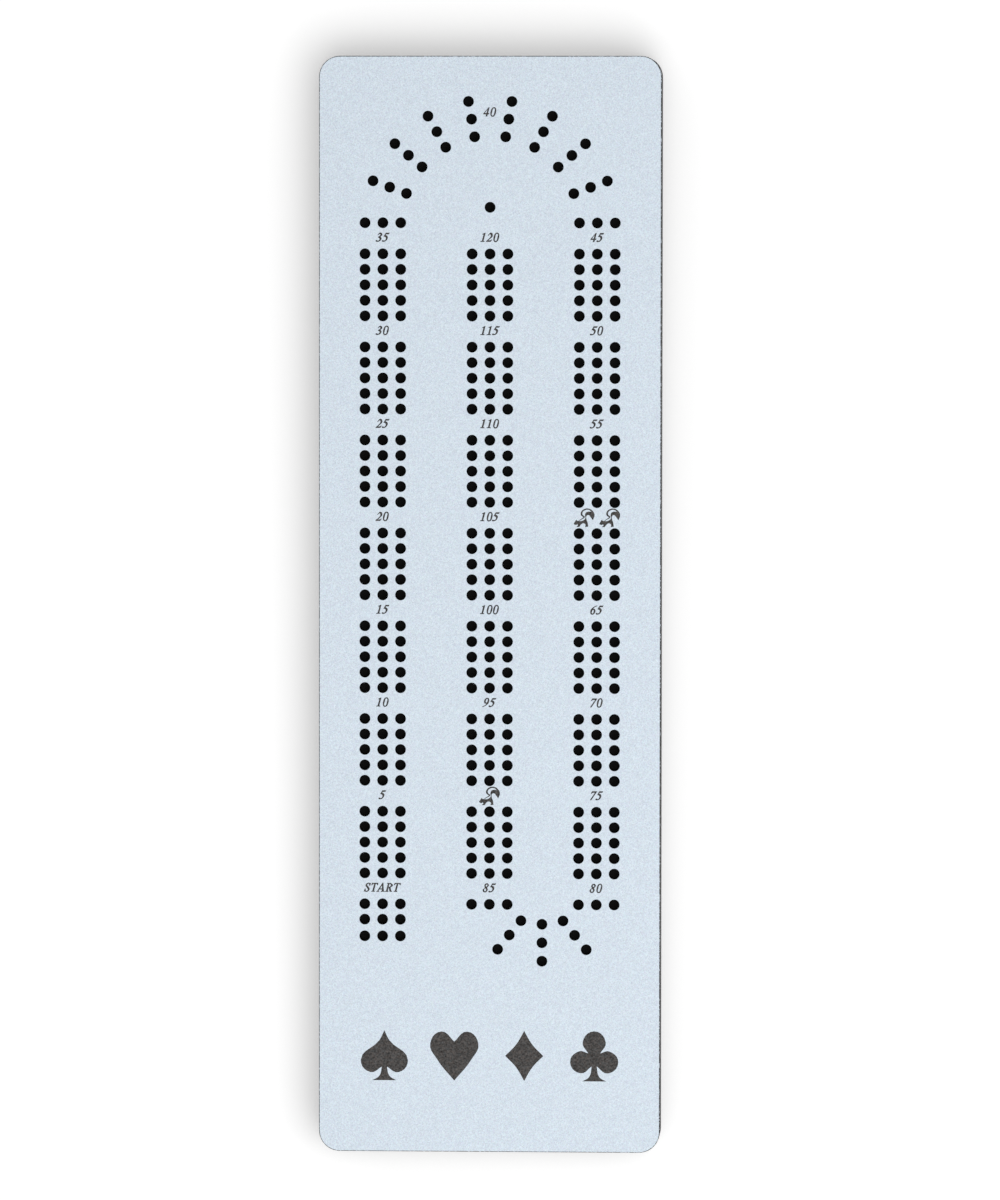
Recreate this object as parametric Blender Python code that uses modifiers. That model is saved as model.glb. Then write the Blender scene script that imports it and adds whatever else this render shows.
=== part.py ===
"""A three-lane cribbage board with a peg store underneath.

The upper panel carries the peg holes.  The lower panel is bonded under it and has the
peg store cut through it.  A steel cover swings on a screw to open the store.

Metres, +Z up.  The origin is on the table, under the middle of the board.
The long side runs along Y, and the finish end of the track is at +Y.
"""
import math

import bmesh
import bpy
from mathutils import Matrix, Vector

MM = 0.001

# Outline of the two panels
BOARD_LENGTH = 304.8 * MM
BOARD_WIDTH = 95.0 * MM
CORNER_RADIUS = 5.8 * MM
RIM_CHAMFER = 0.2 * MM
PLAYING_BOARD_THICKNESS = 7.0 * MM
STORAGE_PANEL_THICKNESS = 5.4 * MM
BOND_LINE = 0.3 * MM

# Peg holes, as places on the face measured from its middle
HOLE_DIAMETER = 3.05 * MM
HOLE_DEPTH = 5.8 * MM
COLUMN_PITCH = 4.96 * MM
TRACK_PITCH = 29.76 * MM
ROW_PITCH = 4.305 * MM
FIRST_ROW_Y = 97.6 * MM
LAST_START_ROW_DROP = 0.35 * MM
TOP_TURN_Y = 105.6 * MM
TOP_TURN_FIRST_ANGLE = math.radians(20.6)
TOP_TURN_STEP_ANGLE = math.radians(19.8)
BOTTOM_TURN_X = 14.65 * MM
BOTTOM_TURN_Y = -80.5 * MM
BOTTOM_TURN_PITCH = 5.15 * MM
BOTTOM_TURN_MIDDLE_RADIUS = 8.2 * MM
BOTTOM_TURN_SIDE_RADIUS = 9.3 * MM
BOTTOM_TURN_SIDE_ANGLE = math.radians(51.0)

# Counts of the track: columns in a lane group, holes in a five, and whole fives in a straight run
LANES = 3
FIVE = 5
FIVES_PER_STRAIGHT = 7
TOP_TURN_ROWS = 4
START_ROWS = 3
ROWS_ABOVE_STRAIGHT = 2
FINISH_ROW = -3

# Peg store in the lower panel
STORE_LENGTH = 96.0 * MM
STORE_WIDTH = 17.0 * MM
STORE_CORNER_RADIUS = 4.0 * MM

# Swinging cover
COVER_WIDTH = 24.0 * MM
COVER_THICKNESS = 0.8 * MM
COVER_SCREW_MARGIN = 8.0 * MM
COVER_GAP = 0.3 * MM
COVER_SLOT_CLEARANCE = 0.4 * MM

# Screws and washers that hold the cover
SCREW_SHANK_DIAMETER = 3.5 * MM
SCREW_HEAD_DIAMETER = 7.0 * MM
SCREW_HEAD_HEIGHT = 1.4 * MM
SCREW_HEAD_RIM = 0.5 * MM
SCREW_LENGTH = 7.0 * MM
SCREW_POINT = 1.6 * MM
WASHER_DIAMETER = 8.0 * MM
WASHER_THICKNESS = 0.5 * MM
FIT_CLEARANCE = 0.3 * MM

# Rubber feet
FOOT_HEIGHT = 4.0 * MM
FOOT_DIAMETER = 11.0 * MM
FOOT_FACE_DIAMETER = 8.0 * MM
FOOT_INSET = 10.0 * MM
FOOT_ROUNDING = 1.0 * MM

# Turned pegs
PEG_LENGTH = 25.4 * MM
PEG_HEAD_LENGTH = 7.0 * MM
PEG_HEAD_DIAMETER = 3.8 * MM
PEG_NECK_DIAMETER = 2.2 * MM
PEG_COLLAR_DIAMETER = 3.4 * MM
PEG_SHANK_DIAMETER = 2.7 * MM
PEG_TIP_DIAMETER = 2.1 * MM
PEG_TIP_ROUNDING = 0.4 * MM
PEG_GAP = 1.0 * MM
PEG_COLUMN_PITCH = 5.0 * MM
PEG_SETS = ("brass", "silver", "black")
PEGS_PER_SET = 3

# Numbers of sides
HOLE_SIDES = 8
CORNER_STEPS = 8
STORE_CORNER_STEPS = 6
COVER_END_STEPS = 18
SCREW_SIDES = 16
SCREW_HOLE_SIDES = 16
FOOT_SIDES = 20
PEG_SIDES = 8
SLOT_STEPS = 6

# Heights above the table
PANEL_BOTTOM_Z = FOOT_HEIGHT + FIT_CLEARANCE
PANEL_TOP_Z = PANEL_BOTTOM_Z + STORAGE_PANEL_THICKNESS
BOARD_BOTTOM_Z = PANEL_TOP_Z + BOND_LINE
BOARD_TOP_Z = BOARD_BOTTOM_Z + PLAYING_BOARD_THICKNESS
COVER_TOP_Z = PANEL_BOTTOM_Z - COVER_GAP
COVER_BOTTOM_Z = COVER_TOP_Z - COVER_THICKNESS
WASHER_TOP_Z = COVER_BOTTOM_Z - FIT_CLEARANCE
WASHER_BOTTOM_Z = WASHER_TOP_Z - WASHER_THICKNESS
SCREW_SEAT_Z = WASHER_BOTTOM_Z - FIT_CLEARANCE

# Cover layout: the pivot is past the +Y end of the store, the keeper past the other
COVER_SPAN = STORE_LENGTH + 2 * COVER_SCREW_MARGIN
PIVOT_Y = COVER_SPAN / 2
KEEPER_Y = -COVER_SPAN / 2
SCREW_HOLE_DIAMETER = SCREW_SHANK_DIAMETER + 2 * FIT_CLEARANCE

CUT_OVERRUN = 2.0 * MM
MERGE_DISTANCE = 0.01 * MM

# Colours as linear values
FACE_BLUE = (0.665, 0.739, 0.819)
CORE_CHARCOAL = (0.060, 0.058, 0.056)
STEEL_GREY = (0.560, 0.570, 0.580)
ZINC_GREY = (0.450, 0.455, 0.460)
RUBBER_BLACK = (0.020, 0.020, 0.021)
PEG_COLOURS = {
    "brass": (0.690, 0.440, 0.140),
    "silver": (0.700, 0.710, 0.720),
    "black": (0.025, 0.025, 0.028),
}


def clear_scene():
    """Remove whatever the scene starts with."""
    for old in list(bpy.data.objects):
        bpy.data.objects.remove(old, do_unlink=True)


def new_collection(name):
    collection = bpy.data.collections.new(name)
    bpy.context.scene.collection.children.link(collection)
    return collection


def new_material(name, colour, roughness, metallic=0.0):
    """A Principled material with one colour."""
    material = bpy.data.materials.new(name)
    material.use_nodes = True
    shader = material.node_tree.nodes["Principled BSDF"]
    shader.inputs["Base Color"].default_value = (*colour, 1.0)
    shader.inputs["Roughness"].default_value = roughness
    shader.inputs["Metallic"].default_value = metallic
    return material


def arc(centre, radius, start, sweep, steps):
    """Points of an arc, both ends included."""
    points = []
    for step in range(steps + 1):
        angle = start + sweep * step / steps
        points.append((centre[0] + radius * math.cos(angle), centre[1] + radius * math.sin(angle)))
    return points


def circle(centre, radius, sides):
    """Points of a closed circle, the last one not repeated."""
    return arc(centre, radius, 0.0, math.tau, sides)[:-1]


def rounded_rectangle(width, length, radius, steps):
    """Points of a rectangle with round corners about the origin."""
    points = []
    for quarter, (side_x, side_y) in enumerate(((1, 1), (-1, 1), (-1, -1), (1, -1))):
        centre = (side_x * (width / 2 - radius), side_y * (length / 2 - radius))
        points += arc(centre, radius, quarter * math.pi / 2, math.pi / 2, steps)
    return points


def flat_solid(name, outlines, bottom_z, top_z, collection):
    """A plate between two heights. Outlines inside the first one become openings through it."""
    curve = bpy.data.curves.new(name, "CURVE")
    curve.dimensions = "2D"
    curve.fill_mode = "BOTH"
    curve.extrude = (top_z - bottom_z) / 2
    for outline in outlines:
        spline = curve.splines.new("POLY")
        spline.points.add(len(outline) - 1)
        spline.use_cyclic_u = True
        for point, (x, y) in zip(spline.points, outline):
            point.co = (x, y, 0.0, 1.0)
    source = bpy.data.objects.new(name, curve)
    source.location.z = (top_z + bottom_z) / 2
    collection.objects.link(source)
    bpy.context.view_layer.update()

    evaluated = source.evaluated_get(bpy.context.evaluated_depsgraph_get())
    mesh = bpy.data.meshes.new_from_object(evaluated)
    place = source.matrix_world.copy()
    bpy.data.objects.remove(source, do_unlink=True)
    bpy.data.curves.remove(curve)

    mesh.materials.clear()
    welded = bmesh.new()
    welded.from_mesh(mesh)
    bmesh.ops.remove_doubles(welded, verts=welded.verts, dist=MERGE_DISTANCE)
    bmesh.ops.recalc_face_normals(welded, faces=welded.faces)
    welded.to_mesh(mesh)
    welded.free()
    mesh.name = name
    plate = bpy.data.objects.new(name, mesh)
    plate.matrix_world = place
    collection.objects.link(plate)
    return plate


def chamfer_outer_rim(plate, top, width):
    """Chamfer the outer edge of a plate's top or bottom face."""
    shape = bmesh.new()
    shape.from_mesh(plate.data)
    heights = [vertex.co.z for vertex in shape.verts]
    level = max(heights) if top else min(heights)
    wall_edges = []
    for edge in shape.edges:
        flat = all(abs(vertex.co.z - level) < MERGE_DISTANCE for vertex in edge.verts)
        steep = any(abs(face.normal.z) < 0.5 for face in edge.link_faces)
        outside = all(
            abs(vertex.co.x) > BOARD_WIDTH / 2 - CORNER_RADIUS or abs(vertex.co.y) > BOARD_LENGTH / 2 - CORNER_RADIUS
            for vertex in edge.verts
        )
        if flat and steep and outside:
            wall_edges.append(edge)
    bmesh.ops.bevel(shape, geom=wall_edges, offset=width, segments=1, profile=0.5, affect="EDGES")
    bmesh.ops.recalc_face_normals(shape, faces=shape.faces)
    shape.to_mesh(plate.data)
    shape.free()


def turned_solid(name, profile, sides, collection):
    """A profile of (radius, height) points, from the top down, turned about Z."""
    mesh = bpy.data.meshes.new(name)
    points = [(radius, 0.0, height) for radius, height in profile]
    edges = [(index, index + 1) for index in range(len(points) - 1)]
    mesh.from_pydata(points, edges, [])
    turned = bpy.data.objects.new(name, mesh)
    collection.objects.link(turned)
    screw = turned.modifiers.new("Turn", "SCREW")
    screw.axis = "Z"
    screw.angle = math.tau
    screw.steps = sides
    screw.render_steps = sides
    screw.use_merge_vertices = True
    screw.merge_threshold = MERGE_DISTANCE
    screw.use_smooth_shade = True
    return turned


def cut(piece, cutter):
    """Take a cutter out of a piece with an exact Boolean."""
    cutter.hide_render = True
    cutter.display_type = "WIRE"
    boolean = piece.modifiers.new("Cut " + cutter.name, "BOOLEAN")
    boolean.operation = "DIFFERENCE"
    boolean.solver = "EXACT"
    boolean.object = cutter


def row_of_holes(middle, across):
    """The holes of one row, one for each lane, about its middle hole."""
    offsets = [lane - (LANES - 1) / 2 for lane in range(LANES)]
    return [(middle[0] + across[0] * offset, middle[1] + across[1] * offset) for offset in offsets]


def straight_holes():
    """The three straight runs, in fives with a free row after each five."""
    rows = [five * (FIVE + 1) + row for five in range(FIVES_PER_STRAIGHT) for row in range(FIVE)]
    row_after_fives = FIVES_PER_STRAIGHT * (FIVE + 1)
    left_rows = [-ROWS_ABOVE_STRAIGHT] + rows
    middle_rows = rows + [row_after_fives]
    right_rows = [-ROWS_ABOVE_STRAIGHT] + rows + [row_after_fives]
    holes = []
    for side, run in ((-1, left_rows), (0, middle_rows), (1, right_rows)):
        for row in run:
            holes += row_of_holes((side * TRACK_PITCH, FIRST_ROW_Y - row * ROW_PITCH), (COLUMN_PITCH, 0.0))
    for start_row in range(START_ROWS):
        y = FIRST_ROW_Y - (row_after_fives + start_row) * ROW_PITCH
        if start_row == START_ROWS - 1:
            y -= LAST_START_ROW_DROP
        holes += row_of_holes((-TRACK_PITCH, y), (COLUMN_PITCH, 0.0))
    return holes


def top_turn_holes():
    """The wide turn that joins the two outer runs, set out on rays from its centre."""
    holes = []
    for side in (-1, 1):
        for row in range(TOP_TURN_ROWS):
            angle = TOP_TURN_FIRST_ANGLE + row * TOP_TURN_STEP_ANGLE
            ray = (side * math.cos(angle), math.sin(angle))
            middle = (TRACK_PITCH * ray[0], TOP_TURN_Y + TRACK_PITCH * ray[1])
            holes += row_of_holes(middle, (COLUMN_PITCH * ray[0], COLUMN_PITCH * ray[1]))
    return holes


def bottom_turn_holes():
    """The tight turn from the right run to the middle one, on three rays."""
    rays = (
        (-BOTTOM_TURN_SIDE_ANGLE, BOTTOM_TURN_SIDE_RADIUS),
        (-math.pi / 2, BOTTOM_TURN_MIDDLE_RADIUS),
        (-math.pi + BOTTOM_TURN_SIDE_ANGLE, BOTTOM_TURN_SIDE_RADIUS),
    )
    holes = []
    for angle, inner_radius in rays:
        for lane in range(LANES):
            radius = inner_radius + lane * BOTTOM_TURN_PITCH
            holes.append((BOTTOM_TURN_X + radius * math.cos(angle), BOTTOM_TURN_Y + radius * math.sin(angle)))
    return holes


def peg_hole_places():
    finish_hole = (0.0, FIRST_ROW_Y - FINISH_ROW * ROW_PITCH)
    return straight_holes() + top_turn_holes() + bottom_turn_holes() + [finish_hole]


def peg_hole_cutter(collection):
    """All the peg holes as upright prisms, each with the cross section's area of a round hole."""
    corner_radius = HOLE_DIAMETER / 2 * math.sqrt(math.tau / (HOLE_SIDES * math.sin(math.tau / HOLE_SIDES)))
    height = HOLE_DEPTH + CUT_OVERRUN
    middle_z = BOARD_TOP_Z - HOLE_DEPTH + height / 2
    prisms = bmesh.new()
    for x, y in peg_hole_places():
        bmesh.ops.create_cone(
            prisms,
            cap_ends=True,
            segments=HOLE_SIDES,
            radius1=corner_radius,
            radius2=corner_radius,
            depth=height,
            matrix=Matrix.Translation((x, y, middle_z)),
        )
    mesh = bpy.data.meshes.new("peg_hole_cutter")
    prisms.to_mesh(mesh)
    prisms.free()
    cutter = bpy.data.objects.new("peg_hole_cutter", mesh)
    collection.objects.link(cutter)
    return cutter


def paint_upper_faces(board, first_slot, second_slot):
    """Give faces that look up the first material and all others the second."""
    board.data.materials.append(first_slot)
    board.data.materials.append(second_slot)
    for face in board.data.polygons:
        face.material_index = 0 if face.normal.z > 0.9 else 1


def make_playing_board(collection, cutters, face_material, core_material):
    outline = rounded_rectangle(BOARD_WIDTH, BOARD_LENGTH, CORNER_RADIUS, CORNER_STEPS)
    board = flat_solid("playing_board", [outline], BOARD_BOTTOM_Z, BOARD_TOP_Z, collection)
    chamfer_outer_rim(board, True, RIM_CHAMFER)
    paint_upper_faces(board, face_material, core_material)
    holes = peg_hole_cutter(cutters)
    holes.data.materials.append(face_material)
    holes.data.materials.append(core_material)
    for face in holes.data.polygons:
        face.material_index = 1
    cut(board, holes)
    return board


def make_storage_panel(collection, material):
    """The lower panel, with the peg store and the two screw holes."""
    outlines = [
        rounded_rectangle(BOARD_WIDTH, BOARD_LENGTH, CORNER_RADIUS, CORNER_STEPS),
        rounded_rectangle(STORE_WIDTH, STORE_LENGTH, STORE_CORNER_RADIUS, STORE_CORNER_STEPS),
        circle((0.0, PIVOT_Y), SCREW_HOLE_DIAMETER / 2, SCREW_HOLE_SIDES),
        circle((0.0, KEEPER_Y), SCREW_HOLE_DIAMETER / 2, SCREW_HOLE_SIDES),
    ]
    panel = flat_solid("storage_panel", outlines, PANEL_BOTTOM_Z, PANEL_TOP_Z, collection)
    chamfer_outer_rim(panel, False, RIM_CHAMFER)
    panel.data.materials.append(material)
    return panel


def make_cover(collection, cutters, material):
    """The swinging cover, with round ends and an arc slot that hooks round the keeper screw.

    It is modelled about its pivot, which is the object's origin.
    """
    end_radius = COVER_WIDTH / 2
    outline = arc((0.0, 0.0), end_radius, 0.0, math.pi, COVER_END_STEPS)
    outline += arc((0.0, -COVER_SPAN), end_radius, math.pi, math.pi, COVER_END_STEPS)
    pivot_hole = circle((0.0, 0.0), SCREW_HOLE_DIAMETER / 2, SCREW_HOLE_SIDES)
    cover = flat_solid("cover_plate", [outline, pivot_hole], COVER_BOTTOM_Z, COVER_TOP_Z, collection)

    slot_radius = SCREW_SHANK_DIAMETER / 2 + COVER_SLOT_CLEARANCE
    mouth_sweep = -(end_radius + CUT_OVERRUN) / COVER_SPAN
    keeper_angle = -math.pi / 2
    mouth_angle = keeper_angle + mouth_sweep
    slot = arc((0.0, 0.0), COVER_SPAN + slot_radius, keeper_angle, mouth_sweep, SLOT_STEPS)
    slot += arc((0.0, 0.0), COVER_SPAN - slot_radius, mouth_angle, -mouth_sweep, SLOT_STEPS)
    slot += arc((0.0, -COVER_SPAN), slot_radius, math.pi / 2, -math.pi, SCREW_SIDES // 2)[1:-1]
    slot_cutter = flat_solid(
        "keeper_slot_cutter", [slot], COVER_BOTTOM_Z - CUT_OVERRUN, COVER_TOP_Z + CUT_OVERRUN, cutters
    )
    cover.location.y = PIVOT_Y
    slot_cutter.location.y = PIVOT_Y
    cut(cover, slot_cutter)
    cover.data.materials.append(material)
    return cover


def make_screw(name, y, collection, material):
    """A pan-head screw that points up, its head under the cover."""
    shank = SCREW_SHANK_DIAMETER / 2
    head = SCREW_HEAD_DIAMETER / 2
    rim_z = SCREW_SEAT_Z - SCREW_HEAD_RIM
    dome_height = SCREW_HEAD_HEIGHT - SCREW_HEAD_RIM
    tip_z = SCREW_SEAT_Z + SCREW_LENGTH
    profile = [(0.0, tip_z), (shank, tip_z - SCREW_POINT), (shank, SCREW_SEAT_Z), (head, SCREW_SEAT_Z), (head, rim_z)]
    dome_steps = 3
    for step in range(1, dome_steps + 1):
        angle = math.pi / 2 * step / dome_steps
        profile.append((head * math.cos(angle), rim_z - dome_height * math.sin(angle)))
    profile[-1] = (0.0, rim_z - dome_height)
    screw = turned_solid(name, profile, SCREW_SIDES, collection)
    screw.location.y = y
    screw.data.materials.append(material)
    return screw


def make_washer(name, y, collection, material):
    bore = SCREW_HOLE_DIAMETER / 2
    rim = WASHER_DIAMETER / 2
    outlines = [circle((0.0, 0.0), rim, SCREW_SIDES), circle((0.0, 0.0), bore, SCREW_HOLE_SIDES)]
    washer = flat_solid(name, outlines, WASHER_BOTTOM_Z, WASHER_TOP_Z, collection)
    washer.location.y = y
    washer.data.materials.append(material)
    return washer


def make_foot(name, x, y, collection, material):
    """A tapered rubber bumper with a flat sole."""
    rim = FOOT_DIAMETER / 2
    sole = FOOT_FACE_DIAMETER / 2
    shoulder = sole + (rim - sole) / 2
    profile = [(0.0, FOOT_HEIGHT), (rim, FOOT_HEIGHT), (shoulder, FOOT_ROUNDING), (sole, 0.0), (0.0, 0.0)]
    foot = turned_solid(name, profile, FOOT_SIDES, collection)
    foot.location = (x, y, 0.0)
    foot.data.materials.append(material)
    return foot


def peg_profile():
    """A turned peg from the top of its head down to its tip, with the bead's middle at height zero."""
    bead = PEG_HEAD_DIAMETER / 2
    collar = PEG_COLLAR_DIAMETER / 2
    neck_z = -PEG_HEAD_LENGTH * 0.45
    collar_z = bead - PEG_HEAD_LENGTH
    tip_z = bead - PEG_LENGTH
    return [
        (0.0, bead),
        (bead * math.cos(math.pi / 4), bead * math.sin(math.pi / 4)),
        (bead, 0.0),
        (PEG_NECK_DIAMETER / 2, neck_z),
        (collar, collar_z),
        (PEG_SHANK_DIAMETER / 2, collar_z),
        (PEG_TIP_DIAMETER / 2, tip_z + PEG_TIP_ROUNDING),
        (0.0, tip_z),
    ]


def make_pegs(collection, materials):
    """The pegs, lying in the store on the closed cover, one colour in each column."""
    bead = PEG_HEAD_DIAMETER / 2
    tip = PEG_TIP_DIAMETER / 2
    lie = math.asin((bead - tip) / (PEG_LENGTH - bead - PEG_TIP_ROUNDING))
    bead_z = COVER_TOP_Z + FIT_CLEARANCE + bead / math.cos(lie)
    first_y = STORE_LENGTH / 2 - PEG_GAP - bead
    profile = peg_profile()
    pegs = []
    for column, colour in enumerate(PEG_SETS):
        x = (column - (len(PEG_SETS) - 1) / 2) * PEG_COLUMN_PITCH
        for place in range(PEGS_PER_SET):
            peg = turned_solid(f"peg_{colour}_{place + 1}", profile, PEG_SIDES, collection)
            peg.location = (x, first_y - place * (PEG_LENGTH + PEG_GAP), bead_z)
            peg.rotation_euler.x = -(math.pi / 2 - lie)
            peg.data.materials.append(materials[colour])
            pegs.append(peg)
    return pegs


def main():
    clear_scene()
    parts = new_collection("cribbage_board")
    cutters = new_collection("cutters")

    face_material = new_material("face_sheet", FACE_BLUE, 0.55)
    core_material = new_material("panel_core", CORE_CHARCOAL, 0.60)
    panel_material = new_material("storage_panel", CORE_CHARCOAL, 0.60)
    cover_material = new_material("cover_plate", STEEL_GREY, 0.35, 1.0)
    screw_material = new_material("screws", ZINC_GREY, 0.30, 1.0)
    foot_material = new_material("rubber_feet", RUBBER_BLACK, 0.75)
    peg_materials = {colour: new_material("peg_" + colour, PEG_COLOURS[colour], 0.30, 1.0) for colour in PEG_SETS}

    make_playing_board(parts, cutters, face_material, core_material)
    make_storage_panel(parts, panel_material)
    make_cover(parts, cutters, cover_material)
    for name, y in (("pivot", PIVOT_Y), ("keeper", KEEPER_Y)):
        make_screw(name + "_screw", y, parts, screw_material)
        make_washer(name + "_washer", y, parts, screw_material)
    foot_x = BOARD_WIDTH / 2 - FOOT_INSET
    foot_y = BOARD_LENGTH / 2 - FOOT_INSET
    corners = ((-1, 1), (1, 1), (-1, -1), (1, -1))
    for number, (side_x, side_y) in enumerate(corners, start=1):
        make_foot(f"foot_{number}", side_x * foot_x, side_y * foot_y, parts, foot_material)
    make_pegs(parts, peg_materials)


main()
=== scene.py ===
"""The finished look of a three-lane cribbage board: its engraved face, core, peg store, pegs and hardware."""
import math

import bmesh
import bpy
from mathutils import Matrix, Vector


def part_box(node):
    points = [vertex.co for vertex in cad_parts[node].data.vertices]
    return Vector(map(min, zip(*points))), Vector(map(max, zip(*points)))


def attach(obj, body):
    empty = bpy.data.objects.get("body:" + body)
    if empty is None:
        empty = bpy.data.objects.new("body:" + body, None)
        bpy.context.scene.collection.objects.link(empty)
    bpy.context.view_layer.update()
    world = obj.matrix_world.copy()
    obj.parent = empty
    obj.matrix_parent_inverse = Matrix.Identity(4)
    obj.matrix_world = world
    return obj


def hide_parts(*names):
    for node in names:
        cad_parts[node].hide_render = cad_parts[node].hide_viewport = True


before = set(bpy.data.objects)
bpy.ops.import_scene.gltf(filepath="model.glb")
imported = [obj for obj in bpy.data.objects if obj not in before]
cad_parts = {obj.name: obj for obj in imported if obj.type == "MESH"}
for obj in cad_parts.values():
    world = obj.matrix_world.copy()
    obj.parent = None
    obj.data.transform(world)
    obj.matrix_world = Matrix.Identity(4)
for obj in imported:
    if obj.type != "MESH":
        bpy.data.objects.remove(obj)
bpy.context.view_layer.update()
bpy.ops.object.select_all(action="DESELECT")

MM = 0.001

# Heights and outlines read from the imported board
BOARD_LOW, BOARD_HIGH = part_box("playing_board")
PANEL_LOW, PANEL_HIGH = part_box("storage_panel")
COVER_LOW, COVER_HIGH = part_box("cover_plate")
BOARD_WIDTH = BOARD_HIGH.x - BOARD_LOW.x
BOARD_LENGTH = BOARD_HIGH.y - BOARD_LOW.y

# Panels
CORNER_RADIUS = 5.8 * MM
CORNER_STEPS = 20
FACE_SHEET_THICKNESS = 0.18 * MM
CORE_TOP = BOARD_HIGH.z - FACE_SHEET_THICKNESS
CORE_CHAMFER = 0.20 * MM
PANEL_EDGE_ROUND = 0.3 * MM
STORE_EDGE_BREAK = 0.15 * MM
BOND_INSET = 0.25 * MM

# The panels' rims lie further out than these, and the store and its screws further in
RIM_FROM_X = 40.0 * MM
RIM_FROM_Y = 145.0 * MM

# Peg holes
HOLE_RADIUS = 1.525 * MM
HOLE_DEPTH = 5.8 * MM
HOLE_FLOOR_TOLERANCE = 0.125 * MM

# Peg store and screw places in the lower panel
STORE_LENGTH = 96.0 * MM
STORE_WIDTH = 17.0 * MM
STORE_CORNER_RADIUS = 4.0 * MM
SCREW_HOLE_RADIUS = 2.05 * MM

# Swinging cover
COVER_SPAN = 112.0 * MM
PIVOT_Y = COVER_SPAN / 2
KEEPER_Y = -COVER_SPAN / 2
COVER_END_RADIUS = (COVER_HIGH.x - COVER_LOW.x) / 2
COVER_EDGE_ROUND = 0.14 * MM
COVER_END_STEPS = 40
SLOT_HALF_WIDTH = 2.15 * MM
SLOT_STEPS = 16

# Screws and washers
SHANK_RADIUS = 1.75 * MM
THREAD_ROOT_RADIUS = 1.4 * MM
THREAD_PITCH = 0.8 * MM
THREAD_TURNS = 5
THREAD_FLANK_SHARE = 0.36
THREAD_STEPS = 24
THREAD_START = 0.9 * MM
SCREW_POINT = 1.6 * MM
HEAD_RADIUS = 3.5 * MM
HEAD_HEIGHT = 1.4 * MM
HEAD_RIM = 0.5 * MM
HEAD_EDGE_ROUND = 0.15 * MM
DOME_STEPS = 12
RECESS_SPAN = 4.0 * MM
RECESS_WIDTH = 0.9 * MM
RECESS_DEPTH = 0.95 * MM
RECESS_TAPER = 0.55
WASHER_RADIUS = 4.0 * MM
WASHER_EDGE_ROUND = 0.1 * MM
WASHER_EDGE_STEPS = 3

# Rubber feet
FOOT_COUNT = 4
FOOT_RADIUS = 5.5 * MM
FOOT_EDGE_ROUND = 0.15 * MM
FOOT_SOLE_RADIUS = 4.0 * MM
FOOT_SHOULDER_RADIUS = 4.72 * MM
FOOT_SHOULDER_HEIGHT = 1.0 * MM
FOOT_SHOULDER_STEPS = 8
FOOT_DIMPLE_RADIUS = 1.3 * MM
FOOT_DIMPLE_DEPTH = 0.25 * MM
PAD_RADIUS = 5.2 * MM

# Turned pegs, along their axis from the middle of the bead
PEG_LENGTH = 25.4 * MM
BEAD_RADIUS = 1.9 * MM
BEAD_END_ANGLE = math.radians(-52)
BEAD_STEPS = 16
NECK_RADIUS = 1.08 * MM
NECK_PLACE = 2.9 * MM
COLLAR_RADIUS = 1.7 * MM
COLLAR_TOP = 4.2 * MM
COLLAR_END = 5.1 * MM
COLLAR_EDGE = 0.12 * MM
GROOVE_DEPTH = 0.12 * MM
PEG_SHANK_RADIUS = 1.35 * MM
PEG_TIP_RADIUS = 1.05 * MM
PEG_TIP_ROUNDING = 0.4 * MM
PEG_TIP_STEPS = 5
PEG_GAP = 0.3 * MM
PEGS_PER_SET = 3

# How finely curves are drawn, how close points are merged and how far cutters reach past what they cut
CURVE_STEPS = 5
EDGE_STEPS = 4
TURNED_STEPS = 48
PEG_STEPS = 32
WELD = 0.002 * MM
OVERRUN = 0.5 * MM
COPLANAR_ANGLE = math.radians(0.5)
SQUARE_CORNER_ANGLE = math.radians(60)

# Edges that turn by fewer degrees than this are shaded smooth
FLAT_PART_ANGLE = 12
SCREW_ANGLE = 30
ROUND_PART_ANGLE = 40

# Engraving
TRACK_PITCH = 29.76 * MM
LABEL_PITCH = 25.83 * MM
FIRST_LABEL_Y = 102.2 * MM
TURN_LABEL_Y = 136.9 * MM
TURN_LABEL = "40"
LABEL_ROWS = 8
HOLES_PER_LABEL = 5
TOP_LEFT_NUMBER = 35
TOP_MIDDLE_NUMBER = 120
TOP_RIGHT_NUMBER = 45
DIGIT_HEIGHT = 2.38 * MM
DIGIT_ADVANCE = 1.76 * MM
LETTER_GAP = 0.05 * MM
LETTER_STRETCH = 1.1
ITALIC_SLANT = 0.26
# How much bolder a stroke is cut on each side than it is drawn, in hundredths of the numeral's height
STROKE_GAIN = 2.7
MARK_HEIGHT = 5.0 * MM
MARK_WIDTH = 5.9 * MM
MARK_PITCH = 7.1 * MM
MARK_DROP = 0.27 * MM
SUIT_HEIGHT = 14.0 * MM
SUIT_PITCH = 19.5 * MM
SUIT_ROW_Y = -125.5 * MM

# Marks of the skunk lines, by the number of the hole they stand for
SINGLE_MARK_AT = 90
DOUBLE_MARK_AT = 60

# Colours, as linear values
FACE_BLUE = (0.704, 0.793, 0.881)
CORE_CHARCOAL = (0.029, 0.0285, 0.028)
SCORCHED_BROWN = (0.100, 0.078, 0.068)
SCORCHED_GREY = (0.058, 0.071, 0.077)
CHIP_PALE_BLUE = (0.42, 0.46, 0.51)
STEEL_GREY = (0.52, 0.53, 0.54)
ZINC_GREY = (0.50, 0.505, 0.51)
RUBBER_BLACK = (0.050, 0.050, 0.053)
ADHESIVE_GREY = (0.10, 0.10, 0.105)
PEG_BRASS = (0.78, 0.53, 0.21)
PEG_NICKEL = (0.72, 0.71, 0.69)
PEG_BLACK = (0.045, 0.045, 0.05)

# Core: how strongly the engraved ground is mottled and how dark it gets, and where a noise makes a chip
SCORCH_CONTRAST = 3.8
SCORCH_DARKEST = 0.2
CHIP_LEVEL = 0.57
FACES_UP = 0.5

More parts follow.
